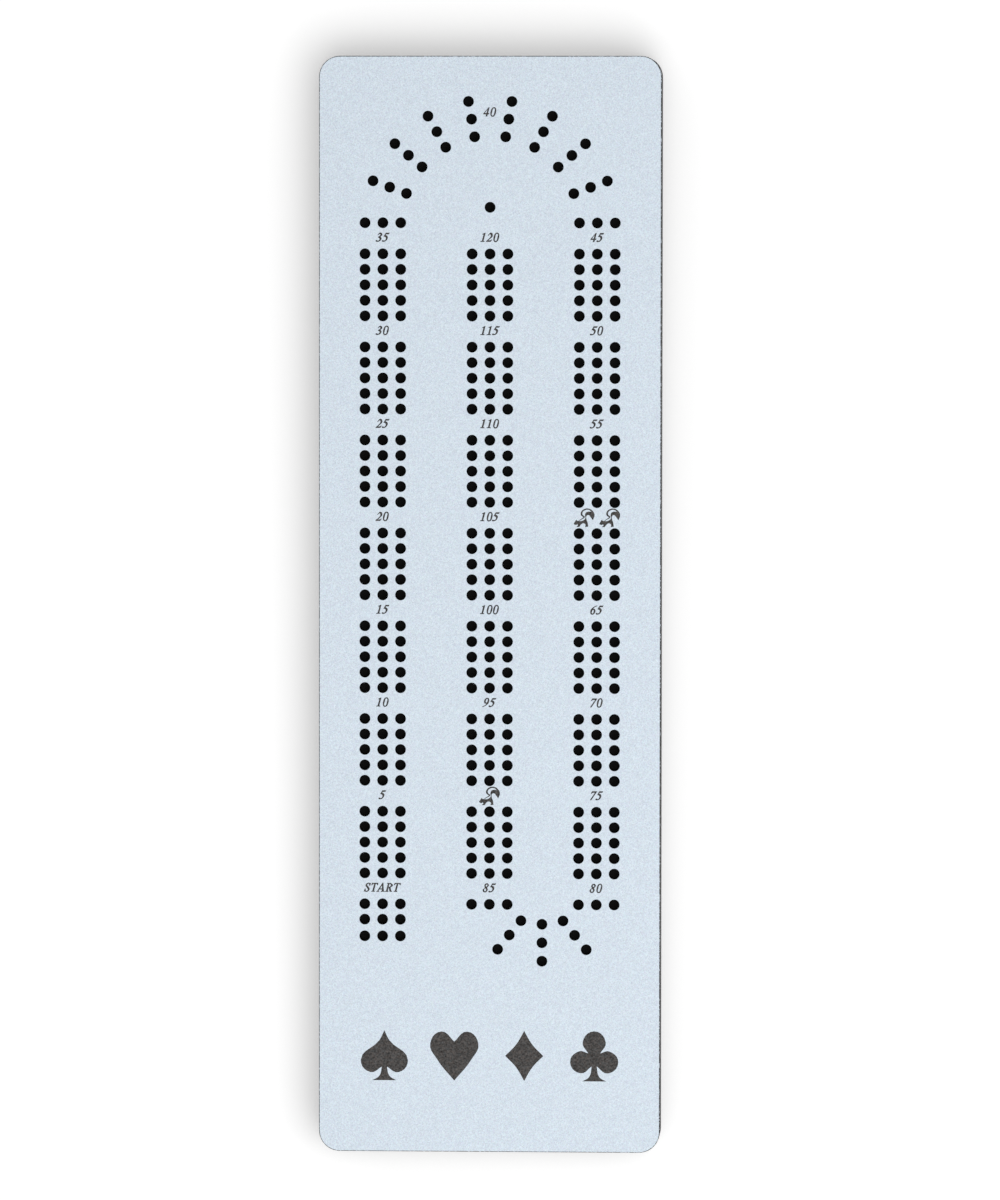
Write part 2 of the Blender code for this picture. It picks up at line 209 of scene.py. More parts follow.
# Studio, in metres and watts
FLOOR_SIZE = 6.0
FLOOR_TONE = 0.91
FLOOR_LIFT = 0.28
AMBIENT = 0.465
KEY_PLACE = (0.36, -0.28, 1.26)
KEY_SIZE = 1.25
KEY_WATTS = 10.64
UNDER_PLACE = (0.0, 0.0, -1.6)
UNDER_SIZE = 1.5
UNDER_WATTS = 22.0
CAMERA_DISTANCE = 2.35
CAMERA_YAW = math.radians(2.80)
CAMERA_TILT = math.radians(2.83)
CAMERA_ROLL = math.radians(-0.063)
CAMERA_TARGET = Vector((2.87 * MM, 1.58 * MM, BOARD_HIGH.z))
CAMERA_LENS = 253.86
SENSOR = 36.0
CAMERA_REACH = 20.0

SHARP, ROUND = "VECTOR", "AUTO"

# Numerals and letters as outlines in hundredths of the numeral's height
GLYPHS = {
    "0": [
        [(36, -1, ROUND), (66, 50, ROUND), (36, 101, ROUND), (6, 50, ROUND)],
        [(36, 5, ROUND), (51, 50, ROUND), (36, 95, ROUND), (21, 50, ROUND)],
    ],
    "1": [
        [(12, 0, SHARP), (57, 0, SHARP), (57, 4, SHARP), (43, 8, SHARP), (43, 101, SHARP), (39, 101, SHARP),
         (14, 88, SHARP), (14, 84, SHARP), (28, 87, SHARP), (28, 8, SHARP), (12, 4, SHARP)],
    ],
    "2": [
        [(4, 0, SHARP), (56, 0, SHARP), (66, 22, SHARP), (61, 23, SHARP), (50, 13, SHARP), (21, 13, SHARP),
         (44, 37, ROUND), (61, 71, ROUND), (36, 101, ROUND), (7, 73, SHARP), (12, 71, SHARP), (31, 89, ROUND),
         (44, 66, ROUND), (30, 35, ROUND), (4, 6, SHARP)],
    ],
    "3": [
        [(4, 8, ROUND), (22, -1, ROUND), (60, 32, ROUND), (42, 57, SHARP), (57, 79, ROUND), (35, 101, ROUND),
         (9, 80, SHARP), (14, 78, SHARP), (30, 91, ROUND), (41, 76, ROUND), (19, 54, SHARP), (19, 49, SHARP),
         (44, 30, ROUND), (24, 6, ROUND), (12, 14, ROUND)],
    ],
    "4": [
        [(36, 0, SHARP), (51, 0, SHARP), (51, 24, SHARP), (65, 24, SHARP), (65, 35, SHARP), (51, 35, SHARP),
         (51, 101, SHARP), (43, 101, SHARP), (2, 33, SHARP), (2, 24, SHARP), (36, 24, SHARP)],
        [(36, 35, SHARP), (36, 80, SHARP), (10, 35, SHARP)],
    ],
    "5": [
        [(22, 100, SHARP), (64, 100, SHARP), (58, 86, SHARP), (27, 86, SHARP), (23, 74, SHARP),
         (46, 63, ROUND), (57, 37, ROUND), (20, -1, ROUND), (3, 7, ROUND), (11, 14, ROUND), (24, 7, ROUND),
         (42, 33, ROUND), (30, 53, ROUND), (8, 60, SHARP)],
    ],
    "6": [
        [(64, 101, SHARP), (24, 80, ROUND), (5, 36, ROUND), (29, -1, ROUND), (60, 31, ROUND), (42, 61, ROUND),
         (25, 56, SHARP), (38, 83, ROUND), (64, 96, SHARP)],
        [(31, 5, ROUND), (45, 32, ROUND), (34, 54, ROUND), (20, 30, ROUND)],
    ],
    "7": [
        [(11, 100, SHARP), (65, 100, SHARP), (65, 95, SHARP), (25, -1, SHARP), (13, -1, SHARP),
         (50, 87, SHARP), (19, 87, SHARP), (9, 75, SHARP), (5, 77, SHARP)],
    ],
    "8": [
        [(34, 101, ROUND), (10, 77, ROUND), (21, 54, ROUND), (4, 25, ROUND), (30, -1, ROUND), (58, 26, ROUND),
         (46, 54, ROUND), (58, 78, ROUND)],
        [(34, 94, ROUND), (45, 79, ROUND), (37, 61, ROUND), (22, 78, ROUND)],
        [(26, 47, ROUND), (17, 25, ROUND), (31, 6, ROUND), (44, 22, ROUND)],
    ],
    "S": [
        [(54, 100, SHARP), (50, 70, SHARP), (45, 70, SHARP), (32, 95, ROUND), (17, 79, ROUND),
         (33, 58, ROUND), (54, 28, ROUND), (28, -2, ROUND), (10, 5, SHARP), (2, -2, SHARP), (5, 33, SHARP),
         (10, 33, SHARP), (26, 4, ROUND), (41, 22, ROUND), (26, 45, ROUND), (5, 73, ROUND), (30, 102, ROUND),
         (46, 94, SHARP)],
    ],
    "T": [
        [(16, 0, SHARP), (50, 0, SHARP), (50, 4, SHARP), (40, 8, SHARP), (40, 92, SHARP), (53, 92, SHARP),
         (63, 76, SHARP), (67, 76, SHARP), (64, 100, SHARP), (2, 100, SHARP), (-1, 76, SHARP), (4, 76, SHARP),
         (13, 92, SHARP), (26, 92, SHARP), (26, 8, SHARP), (16, 4, SHARP)],
    ],
    "A": [
        [(-4, 0, SHARP), (23, 0, SHARP), (23, 4, SHARP), (13, 7, SHARP), (21, 27, SHARP), (49, 27, SHARP),
         (54, 7, SHARP), (44, 4, SHARP), (44, 0, SHARP), (80, 0, SHARP), (80, 4, SHARP), (71, 8, SHARP),
         (44, 102, SHARP), (38, 102, SHARP), (4, 7, SHARP), (-4, 4, SHARP)],
        [(24, 34, SHARP), (47, 34, SHARP), (38, 74, SHARP)],
    ],
    "R": [
        [(2, 0, SHARP), (35, 0, SHARP), (35, 4, SHARP), (26, 7, SHARP), (26, 46, SHARP), (32, 46, SHARP),
         (52, 0, SHARP), (74, 0, SHARP), (74, 4, SHARP), (64, 8, SHARP), (47, 48, SHARP), (65, 74, ROUND),
         (38, 100, SHARP), (2, 100, SHARP), (2, 96, SHARP), (12, 93, SHARP), (12, 7, SHARP), (2, 4, SHARP)],
        [(26, 93, SHARP), (36, 93, SHARP), (49, 74, ROUND), (35, 53, SHARP), (26, 53, SHARP)],
    ],
}
NINE_TURN_CENTRE = (34, 50)
# How far each letter moves the next one on
LETTER_WIDTHS = {"S": 64, "T": 72, "A": 84, "R": 78}

# A skunk in outline, with the stripe as a second outline, in hundredths of its height
SKUNK = [
    [(0, 17, SHARP), (8, 30, ROUND), (16, 42, SHARP), (22, 34, ROUND), (38, 42, ROUND), (55, 54, SHARP),
     (41, 66, ROUND), (42, 84, ROUND), (58, 99, ROUND), (82, 103, ROUND), (104, 92, ROUND), (117, 68, ROUND),
     (108, 38, SHARP), (97, 52, ROUND), (84, 66, ROUND), (73, 62, ROUND), (72, 44, ROUND), (78, 26, ROUND),
     (82, 2, SHARP), (64, 0, SHARP), (66, 14, ROUND), (52, 20, ROUND), (42, 14, ROUND), (32, 0, SHARP),
     (15, 0, SHARP), (24, 13, ROUND), (12, 11, ROUND)],
    [(29, 33, SHARP), (48, 43, ROUND), (63, 56, ROUND), (51, 68, ROUND), (51, 82, ROUND), (64, 93, ROUND),
     (84, 95, ROUND), (100, 84, SHARP), (84, 86, ROUND), (68, 79, ROUND), (64, 64, ROUND), (66, 50, ROUND),
     (50, 35, ROUND)],
]

# The four card suits, in hundredths of their height
SUITS = [
    [(50, 100, SHARP), (60, 80, ROUND), (97, 40, ROUND), (78, 16, ROUND), (55, 27, SHARP), (60, 9, ROUND),
     (74, 0, SHARP), (26, 0, SHARP), (40, 9, ROUND), (45, 27, SHARP), (22, 16, ROUND), (3, 40, ROUND),
     (40, 80, ROUND)],
    [(50, 0, SHARP), (84, 42, ROUND), (98, 74, ROUND), (76, 98, ROUND), (50, 78, SHARP), (24, 98, ROUND),
     (2, 74, ROUND), (16, 42, ROUND)],
    [(50, 0, SHARP), (66, 27, ROUND), (88, 50, SHARP), (66, 73, ROUND), (50, 100, SHARP), (34, 73, ROUND),
     (12, 50, SHARP), (34, 27, ROUND)],
    [(26, 0, SHARP), (74, 0, SHARP), (60, 9, ROUND), (55, 30, SHARP), (77, 16, ROUND), (98, 38, ROUND),
     (80, 60, ROUND), (62, 56, SHARP), (73, 78, ROUND), (50, 100, ROUND), (27, 78, ROUND), (38, 56, SHARP),
     (20, 60, ROUND), (2, 38, ROUND), (23, 16, ROUND), (45, 30, SHARP), (40, 9, ROUND)],
]


class Value:
    """A socket that takes part in Python sums, each of which adds a Math node."""

    def __init__(self, nodes, socket):
        self.nodes = nodes
        self.socket = socket

    def _maths(self, operation, first, second):
        return self.nodes.node("ShaderNodeMath", {"operation": operation}, {0: first, 1: second})

    def __add__(self, other):
        return self._maths("ADD", self, other)

    def __radd__(self, other):
        return self._maths("ADD", other, self)

    def __sub__(self, other):
        return self._maths("SUBTRACT", self, other)

    def __rsub__(self, other):
        return self._maths("SUBTRACT", other, self)

    def __mul__(self, other):
        return self._maths("MULTIPLY", self, other)

    def __rmul__(self, other):
        return self._maths("MULTIPLY", other, self)

    def __or__(self, other):
        return self._maths("MAXIMUM", self, other)

    def __gt__(self, other):
        return self._maths("GREATER_THAN", self, other)


def swing(value, amount):
    """A value from nought to one, made to vary about nought by an amount."""
    return (value - 0.5) * amount


class Nodes:
    """A node tree whose nodes are added one call at a time."""

    def __init__(self, tree):
        self.tree = tree

    def node(self, kind, settings=None, values=None, output=0):
        """Add a node, set it up, feed its sockets and give back one of its outputs."""
        added = self.tree.nodes.new(kind)
        for name, setting in (settings or {}).items():
            setattr(added, name, setting)
        for name, value in (values or {}).items():
            self.feed(added.inputs[name], value)
        return Value(self, added.outputs[output])

    def feed(self, socket, value):
        if isinstance(value, Value):
            self.tree.links.new(value.socket, socket)
        else:
            socket.default_value = value

    def light_path(self, ray):
        return self.node("ShaderNodeLightPath", output=ray)

    def seen_or_mirrored(self):
        """One for rays from the camera, and for those that it sees in metal or through glass."""
        seen = self.light_path("Is Camera Ray") | self.light_path("Is Glossy Ray")
        return seen | self.light_path("Is Transmission Ray")

    def mixed(self, factor, first, second):
        return self.node("ShaderNodeMixShader", values={0: factor, 1: first, 2: second})


class Finish(Nodes):
    """A material built round its Principled shader."""

    def __init__(self, name):
        self.material = bpy.data.materials.new(name)
        self.material.use_nodes = True
        super().__init__(self.material.node_tree)
        self.shader = self.tree.nodes["Principled BSDF"]

    def set(self, **values):
        """Feed the Principled shader's sockets, named with underscores for spaces."""
        for name, value in values.items():
            self.feed(self.shader.inputs[name.replace("_", " ")], value)

    def stretched(self, scale):
        """Object coordinates, scaled along each axis."""
        place = self.node("ShaderNodeTexCoord", output="Object")
        return self.node("ShaderNodeMapping", values={"Vector": place, "Scale": scale})

    def noise(self, size, detail=2.0, roughness=0.5, stretch=(1.0, 1.0, 1.0)):
        """Noise whose blots are about the given size in metres."""
        values = {
            "Vector": self.stretched(stretch),
            "Scale": 1.0 / size,
            "Detail": detail,
            "Roughness": roughness,
        }
        return self.node("ShaderNodeTexNoise", values=values)

    def speckles(self, size):
        """Cells of the given size in metres, each with its own colour."""
        values = {"Vector": self.stretched((1.0, 1.0, 1.0)), "Scale": 1.0 / size}
        return self.node("ShaderNodeTexVoronoi", values=values, output="Color")

    def tinted(self, colour, shade):
        """A colour times a value that varies about one."""
        return self.node(
            "ShaderNodeVectorMath", {"operation": "SCALE"}, {0: colour, "Scale": shade}, output="Vector"
        )

    def mottled(self, colour, hues, amount):
        """A colour whose channels each drift a little with coloured cells."""
        drift = self.node(
            "ShaderNodeVectorMath",
            {"operation": "MULTIPLY_ADD"},
            {0: hues, 1: (amount,) * 3, 2: (1.0 - amount / 2,) * 3},
            output="Vector",
        )
        return self.node(
            "ShaderNodeVectorMath", {"operation": "MULTIPLY"}, {0: drift, 1: colour}, output="Vector"
        )

    def blended(self, mask, first, second):
        """One colour where the mask is nought, the other where it is one."""
        return self.node("ShaderNodeMix", {"data_type": "VECTOR"}, {0: mask, 4: first, 5: second}, output=1)

    def along(self, kind, axis):
        """The place or the normal of a point along one of the piece's axes."""
        vector = self.node("ShaderNodeTexCoord", output=kind)
        return self.node("ShaderNodeSeparateXYZ", values={"Vector": vector}, output=axis)

    def bump(self, height, distance, strength=1.0):
        values = {"Height": height, "Distance": distance, "Strength": strength}
        return self.node("ShaderNodeBump", values=values, output="Normal")


def face_sheet_finish():
    """Pale blue matte sheet with a fine sandy speckle and faint warm and cool mottling."""
    finish = Finish("face_sheet_pale_blue")
    pebbles = finish.noise(0.26 * MM, detail=3.0, roughness=0.65)
    clouds = finish.noise(9.0 * MM, detail=3.0)
    sand = finish.speckles(0.30 * MM)
    colour = finish.mottled(FACE_BLUE, sand, 0.06)
    shade = 1.0 + swing(pebbles, 0.80) + swing(sand, 0.16) + swing(clouds, 0.03)
    finish.set(
        Base_Color=finish.tinted(colour, shade),
        Roughness=0.52 + swing(pebbles, 0.3),
        Normal=finish.bump(pebbles, 0.015 * MM, 0.6),
        Specular_IOR_Level=0.3,
    )
    return finish.material


def core_finish():
    """Black core with fine flecks, mottled brown and grey where engraved, pale chips on its top rim."""
    finish = Finish("panel_core_charcoal")
    grain = finish.noise(0.30 * MM, detail=3.0, roughness=0.65)
    clouds = finish.noise(4.0 * MM, detail=2.0)
    sawn = finish.tinted(CORE_CHARCOAL, 1.0 + swing(grain, 0.9) + swing(clouds, 0.12))
    scorch = finish.noise(0.45 * MM, detail=3.0, roughness=0.7)
    browning = finish.noise(0.8 * MM, detail=2.0)
    brown_or_grey = finish.blended(browning, SCORCHED_BROWN, SCORCHED_GREY)
    engraved = finish.tinted(brown_or_grey, (1.0 + swing(scorch, SCORCH_CONTRAST)) | SCORCH_DARKEST)
    height = finish.along("Object", "Z")
    chamfered = (height > CORE_TOP - CORE_CHAMFER) * (finish.along("Normal", "Z") > FACES_UP)
    chipped = chamfered * (finish.noise(0.5 * MM, detail=1.0) > CHIP_LEVEL)
    below_sheet = finish.blended(chipped, sawn, CHIP_PALE_BLUE)
    finish.set(
        Base_Color=finish.blended(height > CORE_TOP - WELD, below_sheet, engraved),
        Roughness=0.8 + swing(grain, 0.3),
        Normal=finish.bump(grain, 0.02 * MM, 0.5),
        Specular_IOR_Level=0.06,
    )
    return finish.material


def brushed_steel_finish():
    """Sheet steel brushed along its length, with faint smudges."""
    finish = Finish("cover_brushed_steel")
    brushing = finish.noise(0.25 * MM, detail=4.0, roughness=0.7, stretch=(1.0, 0.012, 1.0))
    smudges = finish.noise(14.0 * MM, detail=3.0)
    finish.set(
        Base_Color=finish.tinted(STEEL_GREY, 0.6 + brushing * 0.8 + swing(smudges, 0.12)),
        Metallic=1.0,
        Roughness=0.24 + brushing * 0.18 + swing(smudges, 0.2),
        Normal=finish.bump(brushing, 0.004 * MM, 0.5),
    )
    return finish.material


def zinc_finish():
    """Zinc plating, slightly cloudy."""
    finish = Finish("fastener_zinc")
    clouds = finish.noise(1.6 * MM, detail=3.0)
    fine = finish.noise(0.2 * MM, detail=2.0)
    finish.set(
        Base_Color=finish.tinted(ZINC_GREY, 0.85 + clouds * 0.3),
        Metallic=1.0,
        Roughness=0.22 + clouds * 0.2,
        Normal=finish.bump(fine, 0.003 * MM, 0.4),
    )
    return finish.material


def rubber_finish():
    """Black moulded rubber with a dusty bloom."""
    finish = Finish("foot_rubber")
    grain = finish.noise(0.25 * MM, detail=3.0)
    bloom = finish.noise(3.0 * MM, detail=2.0)
    finish.set(
        Base_Color=finish.tinted(RUBBER_BLACK, 0.6 + bloom * 0.9),
        Roughness=0.5 + bloom * 0.25,
        Normal=finish.bump(grain, 0.01 * MM, 0.6),
        Specular_IOR_Level=0.4,
    )
    return finish.material


def adhesive_finish():
    """Grey adhesive foam, porous at its edge."""
    finish = Finish("adhesive_foam")
    pores = finish.noise(0.18 * MM, detail=3.0)
    finish.set(
        Base_Color=finish.tinted(ADHESIVE_GREY, 0.6 + pores * 0.8),
        Roughness=0.85,
        Normal=finish.bump(pores, 0.02 * MM, 0.7),
    )
    return finish.material


def peg_finish(name, colour, roughness):
    """Turned and polished metal with faint lathe lines and handling marks."""
    finish = Finish(name)
    lathe = finish.noise(0.18 * MM, detail=2.0, stretch=(0.05, 1.0, 0.05))
    wear = finish.noise(2.2 * MM, detail=3.0)
    finish.set(
        Base_Color=finish.tinted(colour, 0.9 + wear * 0.2),
        Metallic=1.0,
        Roughness=roughness + swing(wear, 0.12) + swing(lathe, 0.08),
        Normal=finish.bump(lathe, 0.003 * MM, 0.4),
    )
    return finish.material


def arc(centre, radius, start, sweep, steps):
    """Points of an arc, both ends included."""
    angles = [start + sweep * step / steps for step in range(steps + 1)]
    return [(centre[0] + radius * math.cos(angle), centre[1] + radius * math.sin(angle)) for angle in angles]


def quarter_oval(centre, across, down, steps):
    """Points of a quarter of an oval, from its side to its lowest point, both included."""
    angles = [math.pi / 2 * step / steps for step in range(steps + 1)]
    return [(centre[0] + across * math.cos(angle), centre[1] - down * math.sin(angle)) for angle in angles]


def rounded_rectangle(width, length, radius, steps):
    points = []
    for quarter, (side_x, side_y) in enumerate(((1, 1), (-1, 1), (-1, -1), (1, -1))):
        centre = (side_x * (width / 2 - radius), side_y * (length / 2 - radius))
        points += arc(centre, radius, quarter * math.pi / 2, math.pi / 2, steps)
    return sharp(points)


def circle(centre, radius):
    """A round outline with four Bezier points."""
    points = arc(centre, radius, 0.0, math.tau, 4)[:-1]
    return [(x, y, ROUND) for x, y in points]


def sharp(points):
    return [(x, y, SHARP) for x, y in points]


def placed(outline, corner, height, slant=0.0):
    """An outline in hundredths, set with its lower left corner at a point and leaning by the slant."""
    unit = height / 100
    return [
        (corner[0] + (x + slant * y) * unit, corner[1] + y * unit, handle)
        for x, y, handle in outline
    ]


def signed_area(outline):
    """Twice the area inside an outline, negative where it runs clockwise."""
    following = outline[1:] + outline[:1]
    return sum(x * next_y - next_x * y for (x, y, _), (next_x, next_y, _) in zip(outline, following))


def bolder(outline, gain):
    """An outline with its points moved outwards by the gain, or inwards where that is negative."""
    side = math.copysign(gain, signed_area(outline) * gain)
    moved = []
    for number, (x, y, handle) in enumerate(outline):
        before = Vector((x, y)) - Vector(outline[number - 1][:2])
        after = Vector(outline[(number + 1) % len(outline)][:2]) - Vector((x, y))
        turn = before.normalized() + after.normalized()
        reach = side * 2 / max(turn.length_squared, 1.0)
        moved.append((x + turn.y * reach, y - turn.x * reach, handle))
    return moved


def drawn_mesh(name, outlines, steps, closed):
    """Bezier outlines made a mesh: a flat filled face, or an open line in the XZ plane."""
    bpy.ops.curve.primitive_bezier_curve_add()
    drawn = bpy.context.object
    curve = drawn.data
    curve.dimensions = "2D" if closed else "3D"
    curve.resolution_u = steps
    if closed:
        curve.fill_mode = "BOTH"
    curve.splines.clear()
    for outline in outlines:
        spline = curve.splines.new("BEZIER")
        spline.bezier_points.add(len(outline) - 1)
        spline.use_cyclic_u = closed
        for point, (across, along, handle) in zip(spline.bezier_points, outline):
            point.co = (across, along, 0.0) if closed else (across, 0.0, along)
            point.handle_left_type = handle
            point.handle_right_type = handle
    bpy.ops.object.convert(target="MESH")
    made = bpy.context.object
    made.name = name
    made.data.name = name
    return made


def edit_all(piece):
    """Open a piece in edit mode with all of it selected."""
    select_only(piece)
    bpy.ops.object.mode_set(mode="EDIT")
    bpy.ops.mesh.select_mode(type="VERT")
    bpy.ops.mesh.select_all(action="SELECT")


def close_edit():
    bpy.ops.object.mode_set(mode="OBJECT")


def select_only(piece):
    bpy.ops.object.select_all(action="DESELECT")
    bpy.context.view_layer.objects.active = piece
    piece.select_set(True)


def apply_modifier(piece, kind, **settings):
    """Add a modifier, set it up and apply it."""
    select_only(piece)
    bpy.ops.object.modifier_add(type=kind)
    modifier = piece.modifiers[-1]
    for name, setting in settings.items():
        setattr(modifier, name, setting)
    bpy.ops.object.modifier_apply(modifier=modifier.name)


def plate(name, outlines, top_z, low_z, steps=CURVE_STEPS):
    """A closed plate between two heights. Outlines inside the first cut it through, and so on inwards."""
    made = drawn_mesh(name, outlines, steps, closed=True)
    edit_all(made)
    bpy.ops.mesh.remove_doubles(threshold=WELD)
    bpy.ops.transform.translate(value=(0.0, 0.0, top_z))
    bpy.ops.mesh.extrude_region_move(TRANSFORM_OT_translate={"value": (0.0, 0.0, low_z - top_z)})
    bpy.ops.mesh.select_all(action="SELECT")
    bpy.ops.mesh.normals_make_consistent(inside=False)
    close_edit()
    return made


def turned(name, profile, steps=TURNED_STEPS):
    """A profile of (radius, height, handle) points, from the top down, turned about Z."""
    piece = drawn_mesh(name, [profile], CURVE_STEPS, closed=False)
    apply_modifier(
        piece, "SCREW", steps=steps, render_steps=steps, use_merge_vertices=True, merge_threshold=WELD
    )
    edit_all(piece)
    bpy.ops.mesh.remove_doubles(threshold=WELD)
    bpy.ops.mesh.normals_make_consistent(inside=False)
    close_edit()
    return piece


def select_edges(piece, wanted):
    """Select the edges that pass a test, in edit mode."""
    bpy.ops.mesh.select_mode(type="EDGE")
    bpy.ops.mesh.select_all(action="DESELECT")
    shape = bmesh.from_edit_mesh(piece.data)
    for edge in shape.edges:
        edge.select = wanted(edge)
    shape.select_flush_mode()
    bmesh.update_edit_mesh(piece.data)


def round_edges(piece, wanted, width, segments=3):
    """Round the edges that pass a test, with the flat faces made whole first."""
    edit_all(piece)
    bpy.ops.mesh.dissolve_limited(angle_limit=COPLANAR_ANGLE)
    select_edges(piece, wanted)
    bpy.ops.mesh.bevel(offset=width, segments=segments)
    close_edit()


def square_corner(edge):
    """True for an edge where two faces meet at about a right angle."""
    return edge.is_manifold and edge.calc_face_angle(0.0) > SQUARE_CORNER_ANGLE


def level(edge, z):
    """True for a square corner's edge at a height."""
    return square_corner(edge) and all(abs(v.co.z - z) < WELD for v in edge.verts)


def on_rim(edge):
    """True for an edge along a panel's outside, and not round the store or a screw."""
    return all(abs(v.co.x) > RIM_FROM_X or abs(v.co.y) > RIM_FROM_Y for v in edge.verts)


def finish_piece(piece, material, body, slot, *nodes):
    """Give a piece its material and its body, and hide the CAD nodes that it stands for. The slot is not
    used.
    """
    piece.data.materials.clear()
    piece.data.materials.append(material)
    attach(piece, body)
    if nodes:
        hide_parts(*nodes)
    return piece


def shade(piece, degrees):
    select_only(piece)
    bpy.ops.object.shade_smooth_by_angle(angle=math.radians(degrees))


def put(piece, place, turn_x=0.0):
    """Turn a piece about X and move it, with the place kept in its mesh."""
    select_only(piece)
    piece.rotation_euler.x = turn_x
    piece.location = place
    bpy.ops.object.transform_apply(location=True, rotation=True, scale=True)


def copied(piece, name):
    """A copy of a piece with a mesh of its own."""
    select_only(piece)
    bpy.ops.object.duplicate()
    twin = bpy.context.object
    twin.name = name
    return twin


def cut_out(piece, cutter):
    """Take a closed cutter out of a piece and delete the cutter."""
    apply_modifier(piece, "BOOLEAN", operation="DIFFERENCE", solver="EXACT", object=cutter)
    bpy.data.objects.remove(cutter, do_unlink=True)


def joined(piece, *others):
    """Join other meshes into a piece."""
    select_only(piece)
    for other in others:
        other.select_set(True)
    bpy.ops.object.join()
    return piece


def peg_hole_centres():
    """The middle of each peg hole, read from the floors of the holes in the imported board."""
    floor_z = BOARD_HIGH.z - HOLE_DEPTH
    shape = bmesh.new()
    shape.from_mesh(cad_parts["playing_board"].data)
    bmesh.ops.remove_doubles(shape, verts=shape.verts, dist=WELD)
    waiting = {vertex for vertex in shape.verts if abs(vertex.co.z - floor_z) < HOLE_FLOOR_TOLERANCE}
    centres = []
    while waiting:
        group = {waiting.pop()}
        newest = list(group)
        while newest:
            for link in newest.pop().link_edges:
                near = waiting.intersection(link.verts)
                waiting -= near
                group |= near
                newest += near
        sums = [math.fsum(vertex.co[axis] for vertex in group) for axis in (0, 1)]
        centres.append((sums[0] / len(group), sums[1] / len(group)))
    shape.free()
    return sorted(centres)


def half_turned(outline, centre):
    return [(2 * centre[0] - x, 2 * centre[1] - y, handle) for x, y, handle in outline]


def glyph(character):
    """The outlines of a numeral, or of a letter let out sideways. A nine is a six turned half way round."""
    if character == "9":
        return [half_turned(outline, NINE_TURN_CENTRE) for outline in GLYPHS["6"]]
    stretch = LETTER_STRETCH if character in LETTER_WIDTHS else 1.0
    return [[(x * stretch, y, handle) for x, y, handle in outline] for outline in GLYPHS[character]]


def advance(character):
    """How far a character moves the next one on."""
    if character in LETTER_WIDTHS:
        return LETTER_WIDTHS[character] * LETTER_STRETCH * DIGIT_HEIGHT / 100 + LETTER_GAP
    return DIGIT_ADVANCE


def label(text, centre):
    """Slanted engraved characters, centred on a point."""
    width = sum(advance(character) for character in text)
    lean = ITALIC_SLANT * DIGIT_HEIGHT
    x = centre[0] - (width + lean) / 2
    y = centre[1] - DIGIT_HEIGHT / 2
    outlines = []
    for character in text:
        for number, outline in enumerate(glyph(character)):
            stroke = bolder(outline, -STROKE_GAIN if number else STROKE_GAIN)
            outlines.append(placed(stroke, (x, y), DIGIT_HEIGHT, ITALIC_SLANT))
        x += advance(character)
    return outlines


def skunk_marks(count, centre):
    """One or two skunks side by side, just under a point."""
    outlines = []
    y = centre[1] - MARK_DROP - MARK_HEIGHT / 2
    for number in range(count):
        x = centre[0] + (number - (count - 1) / 2) * MARK_PITCH - MARK_WIDTH / 2
        outlines += [placed(outline, (x, y), MARK_HEIGHT) for outline in SKUNK]
    return outlines


def track_numbers():
    """The numbers and marks beside the track: up the left, down the right and up the middle."""
    outlines = label(TURN_LABEL, (0.0, TURN_LABEL_Y))
    for row in range(LABEL_ROWS):
        y = FIRST_LABEL_Y - row * LABEL_PITCH
        passed = HOLES_PER_LABEL * row
        left = TOP_LEFT_NUMBER - passed
        middle = TOP_MIDDLE_NUMBER - passed
        right = TOP_RIGHT_NUMBER + passed
        outlines += label(str(left) if left else "START", (-TRACK_PITCH, y))
        if middle == SINGLE_MARK_AT:
            outlines += skunk_marks(1, (0.0, y))
        else:
            outlines += label(str(middle), (0.0, y))
        if right == DOUBLE_MARK_AT:
            outlines += skunk_marks(2, (TRACK_PITCH, y))
        else:
            outlines += label(str(right), (TRACK_PITCH, y))
    return outlines


def suit_row():
    """The four card suits in a row on the plain end of the face."""
    outlines = []
    for number, suit in enumerate(SUITS):
        x = (number - (len(SUITS) - 1) / 2) * SUIT_PITCH - SUIT_HEIGHT / 2
        outlines.append(placed(suit, (x, SUIT_ROW_Y - SUIT_HEIGHT / 2), SUIT_HEIGHT))
    return outlines


def board_outline(inset):
    """The board's outline, drawn in by an inset."""
    radius = CORNER_RADIUS - inset
    return rounded_rectangle(BOARD_WIDTH - 2 * inset, BOARD_LENGTH - 2 * inset, radius, CORNER_STEPS)


def store_and_screw_holes(margin):
    """Outlines of the peg store and the two screw holes, each let out by a margin."""
    store = rounded_rectangle(
        STORE_WIDTH + 2 * margin, STORE_LENGTH + 2 * margin, STORE_CORNER_RADIUS + margin, CORNER_STEPS
    )
    return [store] + [circle((0.0, y), SCREW_HOLE_RADIUS + margin) for y in (PIVOT_Y, KEEPER_Y)]


def make_face_sheet(holes, material):
    """The pale sheet, cut through at each peg hole and wherever it is engraved."""
    sheet = plate("face_sheet", [board_outline(CORE_CHAMFER)], BOARD_HIGH.z, CORE_TOP)
    openings = holes + track_numbers() + suit_row()
    cut_out(sheet, plate("engraving", openings, BOARD_HIGH.z + OVERRUN, CORE_TOP - OVERRUN))
    finish_piece(sheet, material, "board", "face_sheet", "playing_board")


def make_core(holes, material):
    """The dark upper panel under the sheet, with a chamfered rim and blind round holes."""
    core = plate("upper_panel_core", [board_outline(0.0)], CORE_TOP, BOARD_LOW.z)
    round_edges(core, lambda edge: level(edge, CORE_TOP), CORE_CHAMFER, segments=1)
    cut_out(core, plate("drills", holes, BOARD_HIGH.z, BOARD_HIGH.z - HOLE_DEPTH))
    shade(core, ROUND_PART_ANGLE)
    finish_piece(core, material, "board", "panel_core", "playing_board")


